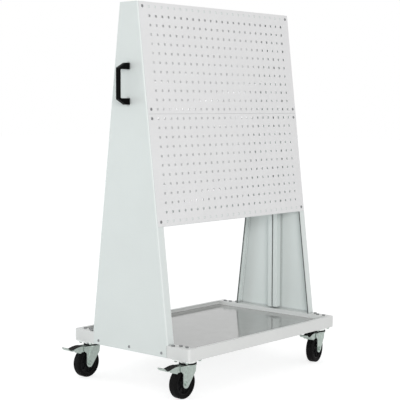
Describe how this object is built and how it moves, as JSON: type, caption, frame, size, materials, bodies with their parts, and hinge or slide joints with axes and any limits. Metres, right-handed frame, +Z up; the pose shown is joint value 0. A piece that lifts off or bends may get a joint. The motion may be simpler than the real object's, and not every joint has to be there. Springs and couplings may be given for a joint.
{
  "type": "mobile pegboard rack",
  "caption": "Mobile rack with leaning perforated tool panels front and rear, folded sheet ends, a recessed tray base, a push handle and braked swivel castors.",
  "frame": {"origin": "on the floor, under the middle of the rack", "axes": "+Z up, +X from the end with the handle to the other end, -Y toward the front"},
  "size_m": [1.1063, 0.665, 1.586],
  "materials": {
    "end_paint": "light grey powder coat",
    "panel_paint": "light grey powder coat",
    "tray_paint": "light grey satin powder coat",
    "zinc": "bright zinc plate",
    "dark_screw": "black oxide",
    "handle_plastic": "black moulded",
    "hub_plastic": "black moulded",
    "tyre": "black solid rubber",
    "edge_rubber": "black push-on edging"
  },
  "bodies": {
    "rack": {"base_tray": "tray_paint", "left_end_channel": "tray_paint", "right_end_channel": "tray_paint", "left_end_panel": "end_paint", "right_end_panel": "end_paint", "left_stiffener": "end_paint", "right_stiffener": "end_paint", "left_edge_trims": "edge_rubber", "right_edge_trims": "edge_rubber", "front_upper_panel": "panel_paint", "front_lower_panel": "panel_paint", "rear_upper_panel": "panel_paint", "rear_lower_panel": "panel_paint", "top_cover": "end_paint", "front_tie_rail": "end_paint", "rear_tie_rail": "end_paint", "panel_screws": "dark_screw", "end_panel_screws": "dark_screw", "tie_screws": "zinc", "rim_bolts": "dark_screw", "castor_bolts": "zinc", "castor_nuts": "zinc", "handle": "handle_plastic", "handle_screws": "zinc", "fl_plate": "zinc", "fl_kingpin": "zinc", "fr_plate": "zinc", "fr_kingpin": "zinc", "rl_plate": "zinc", "rl_kingpin": "zinc", "rr_plate": "zinc", "rr_kingpin": "zinc"},
    "fl_swivel": {"fl_fork": "zinc", "fl_balls": "zinc", "fl_axle": "zinc", "fl_brake_pin": "zinc"},
    "fl_wheel": {"fl_hub": "hub_plastic", "fl_tyre": "tyre"},
    "fl_brake": {"fl_pedal": "zinc"},
    "fr_swivel": {"fr_fork": "zinc", "fr_balls": "zinc", "fr_axle": "zinc", "fr_brake_pin": "zinc"},
    "fr_wheel": {"fr_hub": "hub_plastic", "fr_tyre": "tyre"},
    "fr_brake": {"fr_pedal": "zinc"},
    "rl_swivel": {"rl_fork": "zinc", "rl_balls": "zinc", "rl_axle": "zinc", "rl_brake_pin": "zinc"},
    "rl_wheel": {"rl_hub": "hub_plastic", "rl_tyre": "tyre"},
    "rl_brake": {"rl_pedal": "zinc"},
    "rr_swivel": {"rr_fork": "zinc", "rr_balls": "zinc", "rr_axle": "zinc", "rr_brake_pin": "zinc"},
    "rr_wheel": {"rr_hub": "hub_plastic", "rr_tyre": "tyre"},
    "rr_brake": {"rr_pedal": "zinc"}
  },
  "joints": [
    {"name": "fl_swivel_turn", "type": "hinge", "parent": "rack", "child": "fl_swivel", "pos_m": [-0.447, -0.279, 0.136], "axis": [0, 0, 1], "continuous": true},
    {"name": "fl_wheel_spin", "type": "hinge", "parent": "fl_swivel", "child": "fl_wheel", "pos_m": [-0.481, -0.279, 0.0625], "axis": [0, 1, 0], "continuous": true},
    {"name": "fl_brake_press", "type": "hinge", "parent": "fl_swivel", "child": "fl_brake", "pos_m": [-0.506, -0.279, 0.128], "axis": [0, -1, 0], "range_deg": [0, 10]},
    {"name": "fr_swivel_turn", "type": "hinge", "parent": "rack", "child": "fr_swivel", "pos_m": [0.447, -0.279, 0.136], "axis": [0, 0, 1], "continuous": true},
    {"name": "fr_wheel_spin", "type": "hinge", "parent": "fr_swivel", "child": "fr_wheel", "pos_m": [0.41374, -0.28607, 0.0625], "axis": [-0.2079, 0.9781, 0], "continuous": true},
    {"name": "fr_brake_press", "type": "hinge", "parent": "fr_swivel", "child": "fr_brake", "pos_m": [0.38929, -0.29127, 0.128], "axis": [0.2079, -0.9781, 0], "range_deg": [0, 10]},
    {"name": "rl_swivel_turn", "type": "hinge", "parent": "rack", "child": "rl_swivel", "pos_m": [-0.447, 0.279, 0.136], "axis": [0, 0, 1], "continuous": true},
    {"name": "rl_wheel_spin", "type": "hinge", "parent": "rl_swivel", "child": "rl_wheel", "pos_m": [-0.481, 0.279, 0.0625], "axis": [0, 1, 0], "continuous": true},
    {"name": "rl_brake_press", "type": "hinge", "parent": "rl_swivel", "child": "rl_brake", "pos_m": [-0.506, 0.279, 0.128], "axis": [0, -1, 0], "range_deg": [0, 10]},
    {"name": "rr_swivel_turn", "type": "hinge", "parent": "rack", "child": "rr_swivel", "pos_m": [0.447, 0.279, 0.136], "axis": [0, 0, 1], "continuous": true},
    {"name": "rr_wheel_spin", "type": "hinge", "parent": "rr_swivel", "child": "rr_wheel", "pos_m": [0.413, 0.279, 0.0625], "axis": [0, 1, 0], "continuous": true},
    {"name": "rr_brake_press", "type": "hinge", "parent": "rr_swivel", "child": "rr_brake", "pos_m": [0.388, 0.279, 0.128], "axis": [0, -1, 0], "range_deg": [0, 10]}
  ]
}
